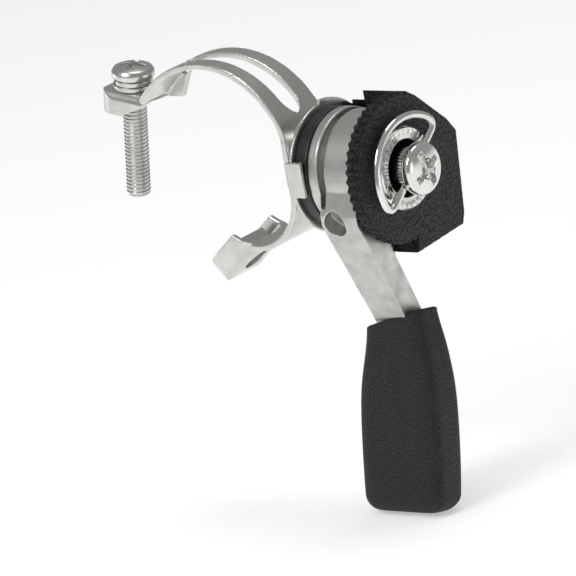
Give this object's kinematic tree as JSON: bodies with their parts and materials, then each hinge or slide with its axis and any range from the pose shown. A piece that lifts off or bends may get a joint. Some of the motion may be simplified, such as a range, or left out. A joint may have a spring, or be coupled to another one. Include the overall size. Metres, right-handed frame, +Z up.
{
  "type": "thumb shifter",
  "caption": "Friction shift lever on a slotted band clamp for a bicycle handlebar, with a rubber-capped arm, toothed cover and wire-bail friction screw.",
  "frame": {"origin": "centre of the handlebar cradle, on the bar's axis at the middle of the strip's width", "axes": "+X along the lever's axis away from the bar, +Y along the bar towards the cable housing, +Z up"},
  "size_m": [0.0807, 0.0339, 0.0934],
  "materials": {
    "zinc_steel": "satin zinc-plated pressed steel",
    "screw_steel": "zinc-plated rolled thread",
    "plain_steel": "oiled turned steel",
    "bright_steel": "bright nickel plate",
    "cast_alloy": "tumbled die casting",
    "ring_plastic": "smooth black moulding",
    "cover_plastic": "black, leather-grained moulding",
    "grip_rubber": "black rubber with a fine leather grain",
    "nylon": "natural nylon",
    "fibre": "brown vulcanised fibre"
  },
  "bodies": {
    "frame": {"clamp_band": "zinc_steel", "clamp_nut": "zinc_steel", "base_cup": "zinc_steel", "pivot_post": "plain_steel", "stop_ring": "ring_plastic", "inner_thrust_washer": "plain_steel", "inner_friction_washer": "fibre", "outer_friction_washer": "fibre", "outer_thrust_washer": "plain_steel", "spring_washer": "plain_steel", "cover": "cover_plastic", "dial_washer": "bright_steel"},
    "lever": {"lever": "cast_alloy", "lever_bush": "nylon", "grip_cap": "grip_rubber"},
    "adjust_screw": {"adjust_screw": "bright_steel"},
    "d_ring": {"d_ring": "bright_steel"},
    "clamp_washers": {"clamp_flat_washer": "screw_steel", "clamp_lock_washer": "screw_steel"},
    "clamp_screw": {"clamp_screw": "screw_steel"}
  },
  "joints": [
    {"name": "lever_pivot", "type": "hinge", "parent": "frame", "child": "lever", "pos_m": [0.028, 0, 0.0041], "axis": [-1, 0, 0], "range_deg": [-5, 126]},
    {"name": "friction_screw_turn", "type": "hinge", "parent": "frame", "child": "adjust_screw", "pos_m": [0.034, 0, 0.0041], "axis": [1, 0, 0], "continuous": true},
    {"name": "bail_fold", "type": "hinge", "parent": "adjust_screw", "child": "d_ring", "pos_m": [0.0383, 0, 0.0041], "axis": [0, 0.809, 0.5878], "range_deg": [0, 146]},
    {"name": "clamp_screw_lift", "type": "slide", "parent": "frame", "child": "clamp_washers", "axis": [0.1736, 0, 0.9848], "range_m": [0, 0.018]},
    {"name": "clamp_screw_turn", "type": "hinge", "parent": "clamp_washers", "child": "clamp_screw", "pos_m": [-0.03101, 0, 0.01871], "axis": [0.1736, 0, 0.9848], "continuous": true}
  ]
}
